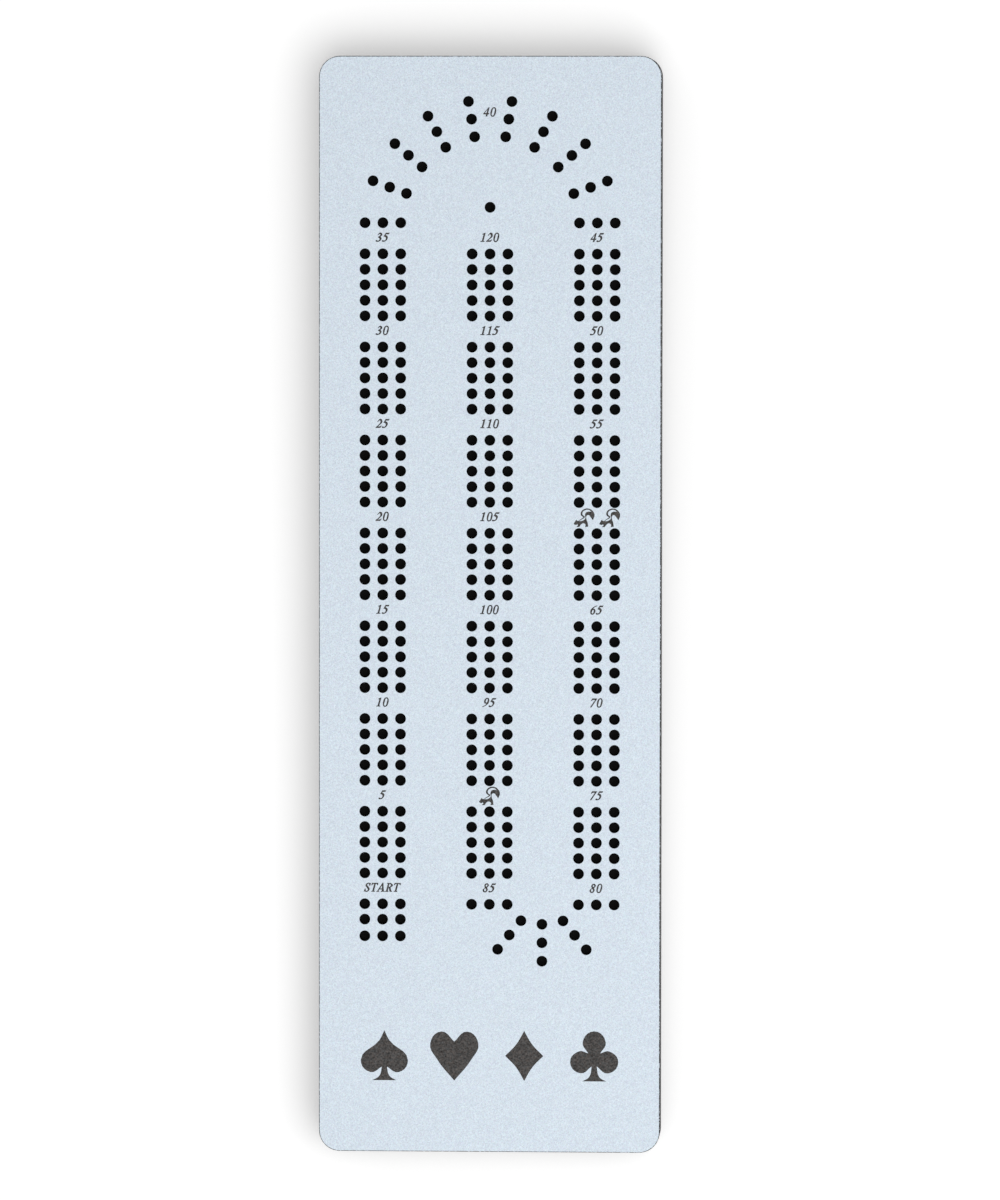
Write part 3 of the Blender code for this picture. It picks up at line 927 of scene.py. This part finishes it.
def make_lower_panel(material):
    """The lower panel with the peg store, rounded along its lower rim."""

    def underside(edge):
        return level(edge, PANEL_LOW.z)

    outlines = [board_outline(0.0)] + store_and_screw_holes(0.0)
    panel = plate("lower_panel_core", outlines, PANEL_HIGH.z, PANEL_LOW.z)
    round_edges(panel, lambda edge: underside(edge) and on_rim(edge), PANEL_EDGE_ROUND)
    round_edges(panel, lambda edge: underside(edge) and not on_rim(edge), STORE_EDGE_BREAK, segments=1)
    shade(panel, FLAT_PART_ANGLE)
    finish_piece(panel, material, "board", "panel_core", "storage_panel")


def make_bond_layer(material):
    """The adhesive between the panels, set back a little from every edge."""
    outlines = [board_outline(BOND_INSET)] + store_and_screw_holes(BOND_INSET)
    layer = plate("bond_layer", outlines, BOARD_LOW.z, PANEL_HIGH.z)
    finish_piece(layer, material, "board", "panel_core")


def cover_outline():
    """Round ends, and an arc slot about the pivot that runs in from the -X side to the keeper."""
    pivot, keeper = (0.0, PIVOT_Y), (0.0, KEEPER_Y)
    keeper_angle = -math.pi / 2
    inner, outer = COVER_SPAN - SLOT_HALF_WIDTH, COVER_SPAN + SLOT_HALF_WIDTH
    # The slot's inner side leaves by the straight edge, its outer side by the round end
    inner_mouth = keeper_angle - math.asin(COVER_END_RADIUS / inner)
    down = (outer ** 2 - COVER_END_RADIUS ** 2 + COVER_SPAN ** 2) / (2 * COVER_SPAN)
    across = math.sqrt(outer ** 2 - down ** 2)
    outer_mouth = keeper_angle - math.atan2(across, down)
    end_angle = keeper_angle - math.atan2(across, down - COVER_SPAN)
    points = arc(pivot, COVER_END_RADIUS, 0.0, math.pi, COVER_END_STEPS)
    points += arc(pivot, inner, inner_mouth, keeper_angle - inner_mouth, SLOT_STEPS)
    points += arc(keeper, SLOT_HALF_WIDTH, math.pi / 2, -math.pi, SLOT_STEPS)[1:-1]
    points += arc(pivot, outer, keeper_angle, outer_mouth - keeper_angle, SLOT_STEPS)
    points += arc(keeper, COVER_END_RADIUS, end_angle, -end_angle, COVER_END_STEPS)[1:]
    return sharp(points)


def make_cover(material):
    """The swinging cover, stamped from sheet with its edges eased."""
    outlines = [cover_outline(), circle((0.0, PIVOT_Y), SCREW_HOLE_RADIUS)]
    cover = plate("cover_sheet", outlines, COVER_HIGH.z, COVER_LOW.z)
    round_edges(cover, square_corner, COVER_EDGE_ROUND)
    shade(cover, FLAT_PART_ANGLE)
    finish_piece(cover, material, "cover", "cover_steel", "cover_plate")


def recess_cutter(low_z):
    """Two crossed tapering bars that reach up into the screw's head."""
    bars = []
    for spans in ((RECESS_SPAN, RECESS_WIDTH), (RECESS_WIDTH, RECESS_SPAN)):
        bpy.ops.mesh.primitive_cube_add(size=1.0, location=(0.0, 0.0, low_z + (RECESS_DEPTH - OVERRUN) / 2))
        bar = bpy.context.object
        bar.scale = (*spans, RECESS_DEPTH + OVERRUN)
        bpy.ops.object.transform_apply(location=True, rotation=True, scale=True)
        edit_all(bar)
        select_edges(bar, lambda edge: all(v.co.z > low_z for v in edge.verts))
        bpy.ops.transform.resize(value=(RECESS_TAPER, RECESS_TAPER, 1.0), center_override=(0.0, 0.0, low_z))
        close_edit()
        bars.append(bar)
    return bars


def screw_thread(start_z):
    """A closed helical ridge that winds up the shank."""
    flank = THREAD_PITCH * THREAD_FLANK_SHARE
    root_radius = THREAD_ROOT_RADIUS - WELD
    ridge = sharp([(root_radius, flank), (SHANK_RADIUS, 0.0), (root_radius, -flank)])
    thread = drawn_mesh("thread", [ridge + ridge[:1]], 1, closed=False)
    edit_all(thread)
    bpy.ops.mesh.remove_doubles(threshold=WELD)
    bpy.ops.transform.translate(value=(0.0, 0.0, start_z))
    close_edit()
    apply_modifier(
        thread,
        "SCREW",
        steps=THREAD_STEPS,
        render_steps=THREAD_STEPS,
        screw_offset=THREAD_PITCH,
        iterations=THREAD_TURNS,
    )
    edit_all(thread)
    bpy.ops.mesh.fill_holes(sides=4)
    bpy.ops.mesh.select_all(action="SELECT")
    bpy.ops.mesh.normals_make_consistent(inside=False)
    close_edit()
    return thread


def make_screw(node, y, material):
    """A pan-head screw that points up, with a cross recess and a thread."""
    low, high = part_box(node)
    seat_z = low.z + HEAD_HEIGHT
    rim_z = seat_z - HEAD_RIM
    thread_z = seat_z + THREAD_START
    edge = HEAD_EDGE_ROUND
    profile = [(0.0, high.z), (THREAD_ROOT_RADIUS, high.z - SCREW_POINT), (THREAD_ROOT_RADIUS, thread_z)]
    profile += [(SHANK_RADIUS, thread_z - edge), (SHANK_RADIUS, seat_z)]
    profile += arc((HEAD_RADIUS - edge, seat_z - edge), edge, math.pi / 2, -math.pi / 2, EDGE_STEPS)
    profile += quarter_oval((0.0, rim_z), HEAD_RADIUS, rim_z - low.z, DOME_STEPS)[:-1]
    screw = turned(node + "_body", sharp(profile + [(0.0, low.z)]))
    for bar in recess_cutter(low.z):
        cut_out(screw, bar)
    joined(screw, screw_thread(thread_z))
    put(screw, (0.0, y, 0.0))
    shade(screw, SCREW_ANGLE)
    finish_piece(screw, material, "board", "zinc", node)


def make_washer(node, y, material):
    """A flat washer with eased edges, turned from its section."""
    low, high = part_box(node)
    width = WASHER_RADIUS - SCREW_HOLE_RADIUS
    section = rounded_rectangle(width, high.z - low.z, WASHER_EDGE_ROUND, WASHER_EDGE_STEPS)
    middle = (WASHER_RADIUS + SCREW_HOLE_RADIUS) / 2
    profile = [(middle + x, (low.z + high.z) / 2 + z, handle) for x, z, handle in section]
    washer = turned(node + "_ring", profile + profile[:1])
    put(washer, (0.0, y, 0.0))
    shade(washer, ROUND_PART_ANGLE)
    finish_piece(washer, material, "board", "zinc", node)


def make_foot(node, rubber, adhesive):
    """A moulded rubber bumper, with a dimple in its sole and an adhesive pad up to the panel."""
    low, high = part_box(node)
    place = ((low.x + high.x) / 2, (low.y + high.y) / 2, 0.0)
    edge = FOOT_EDGE_ROUND
    flare = FOOT_SHOULDER_RADIUS - FOOT_SOLE_RADIUS
    rim = arc((FOOT_RADIUS - edge, high.z - edge), edge, math.pi / 2, -math.pi / 2, EDGE_STEPS)
    shoulder = quarter_oval(
        (FOOT_SOLE_RADIUS, FOOT_SHOULDER_HEIGHT), flare, FOOT_SHOULDER_HEIGHT, FOOT_SHOULDER_STEPS
    )
    dimple = [(FOOT_DIMPLE_RADIUS, 0.0), (FOOT_DIMPLE_RADIUS - edge, FOOT_DIMPLE_DEPTH)]
    profile = [(0.0, high.z)] + rim + shoulder + dimple + [(0.0, FOOT_DIMPLE_DEPTH)]
    foot = turned(node + "_bumper", sharp(profile))
    put(foot, place)
    shade(foot, ROUND_PART_ANGLE)
    finish_piece(foot, rubber, "board", "rubber", node)

    pad_section = [(0.0, PANEL_LOW.z), (PAD_RADIUS, PANEL_LOW.z), (PAD_RADIUS, high.z), (0.0, high.z)]
    pad = turned(node + "_pad", sharp(pad_section))
    put(pad, place)
    shade(pad, ROUND_PART_ANGLE)
    finish_piece(pad, adhesive, "board", "rubber")


def peg_profile():
    """Bead, waisted neck, grooved collar and tapering shank, with the bead's middle at height zero."""
    tip_z = BEAD_RADIUS - PEG_LENGTH
    edge = COLLAR_EDGE
    groove_z = -(COLLAR_TOP + COLLAR_END) / 2 - edge
    groove_floor = COLLAR_RADIUS - GROOVE_DEPTH
    groove = [(COLLAR_RADIUS, groove_z + edge), (groove_floor, groove_z), (COLLAR_RADIUS, groove_z - edge)]
    profile = sharp(arc((0.0, 0.0), BEAD_RADIUS, math.pi / 2, BEAD_END_ANGLE - math.pi / 2, BEAD_STEPS))
    profile += [(NECK_RADIUS, -NECK_PLACE, ROUND)]
    profile += sharp([(COLLAR_RADIUS - edge * 2, edge - COLLAR_TOP), (COLLAR_RADIUS, -COLLAR_TOP)] + groove)
    profile += sharp([(COLLAR_RADIUS, edge - COLLAR_END), (COLLAR_RADIUS - edge, -COLLAR_END)])
    profile += sharp([(PEG_SHANK_RADIUS, -COLLAR_END), (PEG_TIP_RADIUS, tip_z + PEG_TIP_ROUNDING)])
    tip = (PEG_TIP_RADIUS - PEG_TIP_ROUNDING, tip_z + PEG_TIP_ROUNDING)
    profile += sharp(arc(tip, PEG_TIP_ROUNDING, 0.0, -math.pi / 2, PEG_TIP_STEPS)[1:])
    return profile + [(0.0, tip_z, SHARP)]


def make_pegs(finishes):
    """The nine pegs, lying over the closed cover with their beads towards +Y."""
    lie = math.asin((BEAD_RADIUS - PEG_TIP_RADIUS) / (PEG_LENGTH - BEAD_RADIUS - PEG_TIP_ROUNDING))
    bead_z = COVER_HIGH.z + PEG_GAP + BEAD_RADIUS / math.cos(lie)
    pattern = turned("peg_pattern", peg_profile(), PEG_STEPS)
    shade(pattern, ROUND_PART_ANGLE)
    for colour, material in finishes.items():
        for number in range(1, PEGS_PER_SET + 1):
            node = f"peg_{colour}_{number}"
            low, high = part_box(node)
            peg = copied(pattern, node + "_turned")
            put(peg, ((low.x + high.x) / 2, high.y - BEAD_RADIUS * math.cos(lie), bead_z), lie - math.pi / 2)
            finish_piece(peg, material, "board", "peg_" + colour, node)
    bpy.data.objects.remove(pattern, do_unlink=True)


def make_floor():
    """A pale floor, white where it is lit, that keeps the board's shadow.

    It lets the camera and the lamp under it look through from below.
    """
    bpy.ops.mesh.primitive_plane_add(size=FLOOR_SIZE)
    floor = bpy.context.object
    floor.name = "studio_floor"
    finish = Finish("studio_floor_white")
    matt = finish.node("ShaderNodeBsdfDiffuse", values={"Color": (FLOOR_TONE, FLOOR_TONE, FLOOR_TONE, 1.0)})
    lift = finish.node("ShaderNodeEmission", values={"Strength": FLOOR_LIFT})
    bright = finish.node("ShaderNodeAddShader", values={0: matt, 1: lift})
    clear = finish.node("ShaderNodeBsdfTransparent")
    shown = finish.mixed(finish.seen_or_mirrored(), matt, bright)
    underneath = finish.node("ShaderNodeNewGeometry", output="Backfacing")
    from_below = finish.light_path("Is Camera Ray") * underneath
    surface = finish.mixed(from_below | finish.light_path("Is Shadow Ray"), shown, clear)
    finish.feed(finish.tree.nodes["Material Output"].inputs["Surface"], surface)
    floor.data.materials.append(finish.material)


def add_light(name, place, size, watts):
    """A square soft light that points at the board's middle."""
    bpy.ops.object.light_add(type="AREA", location=place)
    light = bpy.context.object
    light.name = name
    light.data.size = size
    light.data.energy = watts
    light.rotation_euler = (-Vector(place)).to_track_quat("-Z", "Y").to_euler()


def make_world():
    """Even white light, seen as pure white by the camera and in reflections."""
    world = bpy.data.worlds.new("studio_world")
    bpy.context.scene.world = world
    world.use_nodes = True
    nodes = Nodes(world.node_tree)
    white = (1.0, 1.0, 1.0, 1.0)
    ambient = nodes.node("ShaderNodeBackground", values={"Color": white, "Strength": AMBIENT})
    backdrop = nodes.node("ShaderNodeBackground", values={"Color": white, "Strength": 1.0})
    surface = nodes.mixed(nodes.seen_or_mirrored(), ambient, backdrop)
    nodes.feed(nodes.tree.nodes["World Output"].inputs["Surface"], surface)


def make_camera():
    """A long lens over the board, a little to its right and towards its far end."""
    back = Vector((math.sin(CAMERA_YAW), math.sin(CAMERA_TILT), 1.0)).normalized()
    right = (-back).cross(Vector((math.sin(CAMERA_ROLL), math.cos(CAMERA_ROLL), 0.0))).normalized()
    bpy.ops.object.camera_add()
    camera = bpy.context.object
    turn = Matrix((right, back.cross(right), back)).transposed().to_4x4()
    camera.matrix_world = Matrix.Translation(CAMERA_TARGET + back * CAMERA_DISTANCE) @ turn
    camera.data.lens = CAMERA_LENS
    camera.data.sensor_width = SENSOR
    camera.data.clip_end = CAMERA_REACH
    bpy.context.scene.camera = camera


def main():
    core = core_finish()
    zinc = zinc_finish()
    rubber = rubber_finish()
    adhesive = adhesive_finish()
    holes = [circle(centre, HOLE_RADIUS) for centre in peg_hole_centres()]
    make_face_sheet(holes, face_sheet_finish())
    make_core(holes, core)
    make_lower_panel(core)
    make_bond_layer(adhesive)
    make_cover(brushed_steel_finish())
    for name, y in (("pivot", PIVOT_Y), ("keeper", KEEPER_Y)):
        make_screw(name + "_screw", y, zinc)
        make_washer(name + "_washer", y, zinc)
    for number in range(1, FOOT_COUNT + 1):
        make_foot(f"foot_{number}", rubber, adhesive)
    make_pegs({
        "brass": peg_finish("peg_brass_polished", PEG_BRASS, 0.20),
        "silver": peg_finish("peg_nickel_polished", PEG_NICKEL, 0.18),
        "black": peg_finish("peg_black_plated", PEG_BLACK, 0.24),
    })
    make_floor()
    make_world()
    make_camera()
    add_light("key_light", KEY_PLACE, KEY_SIZE, KEY_WATTS)
    add_light("under_light", UNDER_PLACE, UNDER_SIZE, UNDER_WATTS)
    bpy.context.scene.view_settings.view_transform = "Standard"


main()
